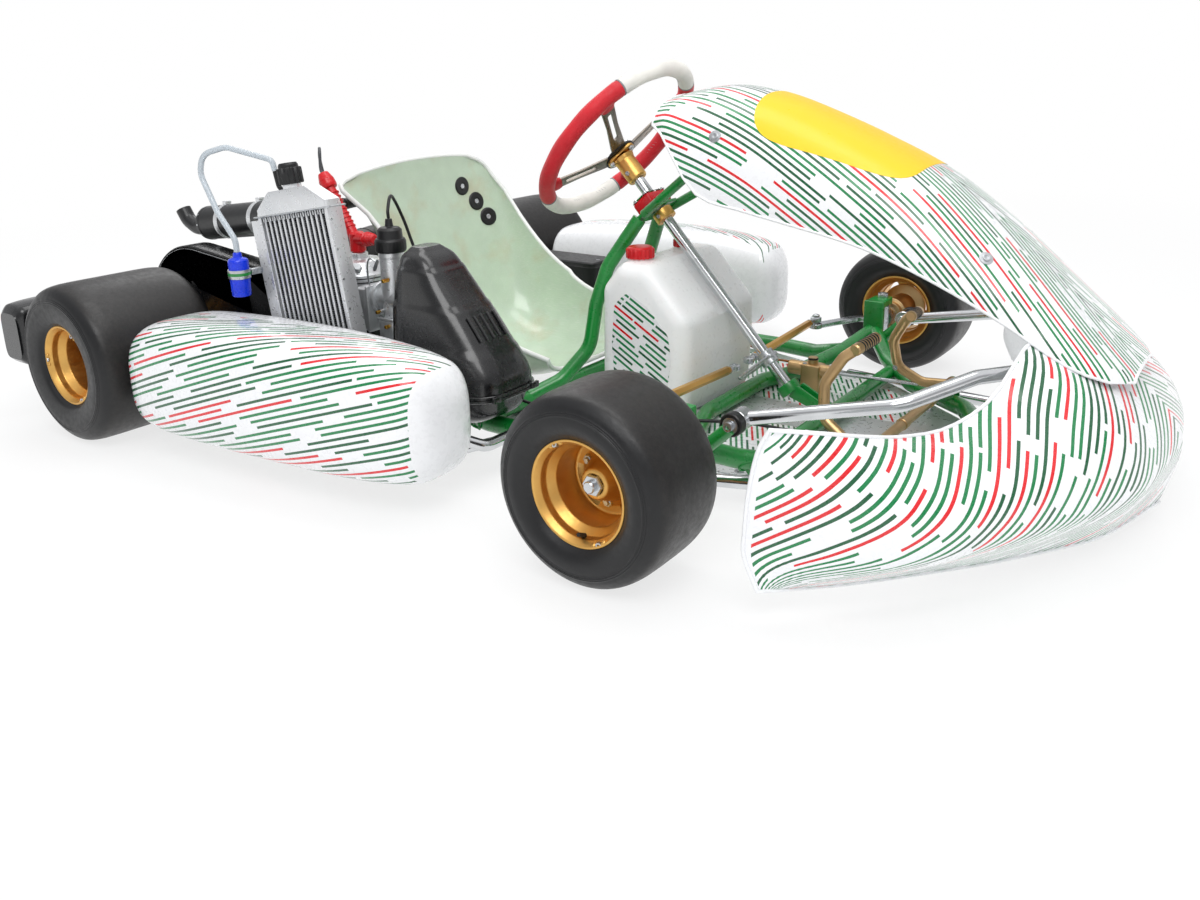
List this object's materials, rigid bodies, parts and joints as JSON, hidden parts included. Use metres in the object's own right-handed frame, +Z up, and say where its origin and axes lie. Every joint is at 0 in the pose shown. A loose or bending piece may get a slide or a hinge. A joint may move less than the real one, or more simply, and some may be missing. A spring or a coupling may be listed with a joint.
{
  "type": "racing go-kart",
  "caption": "Racing go-kart: welded tube chassis with working steering, driven rear axle, pedals, side-mounted water-cooled engine, seat, tank and bodywork.",
  "frame": {"origin": "centre of the bounding box in plan, on the ground under the tyres", "axes": "+X forwards, +Y to the driver's left, +Z up"},
  "size_m": [1.895, 1.374, 0.6284],
  "materials": {
    "frame_paint": "glossy green powder coat",
    "bare_aluminium": "machined and cast, satin",
    "bright_chrome": "polished",
    "plated_steel": "zinc plated, satin",
    "gold_anodised": "gold anodised, satin",
    "bronze_anodised": "bronze anodised, satin",
    "black_casting": "satin black coating",
    "slick_tyre": "satin slick rubber",
    "hose_rubber": "satin black",
    "satin_black_plastic": "satin moulded",
    "glossy_black_plastic": "glossy moulded",
    "red_plastic": "satin red",
    "blue_plastic": "clear blue",
    "clear_hose": "clear flexible",
    "tank_plastic": "translucent white, blow moulded",
    "seat_fibreglass": "clear laminated fibreglass",
    "white_bodywork": "glossy moulded, with coloured stripes"
  },
  "bodies": {
    "chassis": {"frame": "frame_paint", "floor_tray": "bare_aluminium", "rear_bumper": "satin_black_plastic", "front_bumper": "bright_chrome", "side_bar_left": "bright_chrome", "side_bar_right": "bright_chrome", "column_bush": "red_plastic", "bearing_carrier_left": "bare_aluminium", "bearing_carrier_right": "bare_aluminium", "brake_caliper": "bronze_anodised", "brake_pump": "bronze_anodised", "drive_chain": "plated_steel", "chain_guard": "glossy_black_plastic", "engine_mount": "bare_aluminium", "crankcase": "black_casting", "cylinder": "bare_aluminium", "spark_plug_cap": "red_plastic", "carburettor": "bare_aluminium", "airbox": "satin_black_plastic", "airbox_tray": "satin_black_plastic", "radiator": "bare_aluminium", "coolant_hose": "hose_rubber", "overflow_hose": "clear_hose", "overflow_bottle": "blue_plastic", "exhaust_chamber": "plated_steel", "silencer": "black_casting", "battery_box": "satin_black_plastic", "seat": "seat_fibreglass", "fuel_tank": "tank_plastic", "front_panel": "white_bodywork", "nose_cone": "white_bodywork", "side_pod_left": "white_bodywork", "side_pod_right": "white_bodywork"},
    "steering": {"steering_column": "bright_chrome", "steering_boss": "gold_anodised", "steering_wheel": "red_plastic"},
    "spindle_arm_left": {"spindle_left": "plated_steel"},
    "spindle_arm_right": {"spindle_right": "plated_steel"},
    "rod_left": {"tie_rod_left": "gold_anodised"},
    "rod_right": {"tie_rod_right": "gold_anodised"},
    "front_wheel_left": {"front_hub_left": "bronze_anodised", "front_rim_left": "gold_anodised", "front_tyre_left": "slick_tyre"},
    "front_wheel_right": {"front_hub_right": "bronze_anodised", "front_rim_right": "gold_anodised", "front_tyre_right": "slick_tyre"},
    "rear_axle_set": {"rear_axle": "bright_chrome", "rear_hub_left": "bronze_anodised", "rear_hub_right": "bronze_anodised", "rear_rim_left": "gold_anodised", "rear_rim_right": "gold_anodised", "rear_tyre_left": "slick_tyre", "rear_tyre_right": "slick_tyre", "brake_disc": "plated_steel", "axle_sprocket": "plated_steel"},
    "drive_sprocket": {"engine_sprocket": "plated_steel"},
    "throttle": {"throttle_pedal": "bronze_anodised"},
    "brake": {"brake_pedal": "bronze_anodised"},
    "filler_cap": {"fuel_cap": "red_plastic"},
    "pressure_cap": {"radiator_cap": "satin_black_plastic"}
  },
  "joints": [
    {"name": "steering_turn", "type": "hinge", "parent": "chassis", "child": "steering", "pos_m": [0.368, 0, 0.0935], "axis": [-0.6691, 0, 0.7431], "range_deg": [-40, 40]},
    {"name": "kingpin_left", "type": "hinge", "parent": "chassis", "child": "spindle_arm_left", "pos_m": [0.375, 0.4, 0.128], "axis": [0, 0, 1], "range_deg": [-20, 20]},
    {"name": "kingpin_right", "type": "hinge", "parent": "chassis", "child": "spindle_arm_right", "pos_m": [0.375, -0.4, 0.128], "axis": [0, 0, 1], "range_deg": [-20, 20]},
    {"name": "rod_pivot_left", "type": "hinge", "parent": "spindle_arm_left", "child": "rod_left", "pos_m": [0.28, 0.3, 0.122], "axis": [0, 0, 1], "range_deg": [-27, 27]},
    {"name": "rod_pivot_right", "type": "hinge", "parent": "spindle_arm_right", "child": "rod_right", "pos_m": [0.28, -0.3, 0.122], "axis": [0, 0, 1], "range_deg": [-27, 27]},
    {"name": "front_wheel_left_roll", "type": "hinge", "parent": "spindle_arm_left", "child": "front_wheel_left", "pos_m": [0.375, 0.54, 0.128], "axis": [0, 1, 0], "continuous": true},
    {"name": "front_wheel_right_roll", "type": "hinge", "parent": "spindle_arm_right", "child": "front_wheel_right", "pos_m": [0.375, -0.54, 0.128], "axis": [0, 1, 0], "continuous": true},
    {"name": "rear_axle_roll", "type": "hinge", "parent": "chassis", "child": "rear_axle_set", "pos_m": [-0.675, 0, 0.14], "axis": [0, 1, 0], "continuous": true},
    {"name": "engine_sprocket_turn", "type": "hinge", "parent": "chassis", "child": "drive_sprocket", "pos_m": [-0.36, -0.385, 0.13], "axis": [0, 1, 0], "continuous": true},
    {"name": "throttle_press", "type": "hinge", "parent": "chassis", "child": "throttle", "pos_m": [0.585, -0.165, 0.092], "axis": [0, 1, 0], "range_deg": [0, 25], "stiffness_Nm_per_rad": 3},
    {"name": "brake_press", "type": "hinge", "parent": "chassis", "child": "brake", "pos_m": [0.585, 0.165, 0.092], "axis": [0, 1, 0], "range_deg": [0, 18], "stiffness_Nm_per_rad": 5},
    {"name": "fuel_cap_unscrew", "type": "hinge", "parent": "chassis", "child": "filler_cap", "pos_m": [0.122, -0.078, 0.31], "axis": [0, 0, 1], "range_deg": [0, 360]},
    {"name": "pressure_cap_turn", "type": "hinge", "parent": "chassis", "child": "pressure_cap", "pos_m": [-0.32182, -0.437, 0.44585], "axis": [-0.165, 0, 0.9863], "range_deg": [0, 90]}
  ],
  "couplings": [
    {"joint": "kingpin_left", "follows": "steering_turn", "ratio": 0.484},
    {"joint": "kingpin_right", "follows": "steering_turn", "ratio": 0.484},
    {"joint": "rod_pivot_left", "follows": "steering_turn", "ratio": -0.66},
    {"joint": "rod_pivot_right", "follows": "steering_turn", "ratio": -0.66},
    {"joint": "engine_sprocket_turn", "follows": "rear_axle_roll", "ratio": 1.4706}
  ]
}
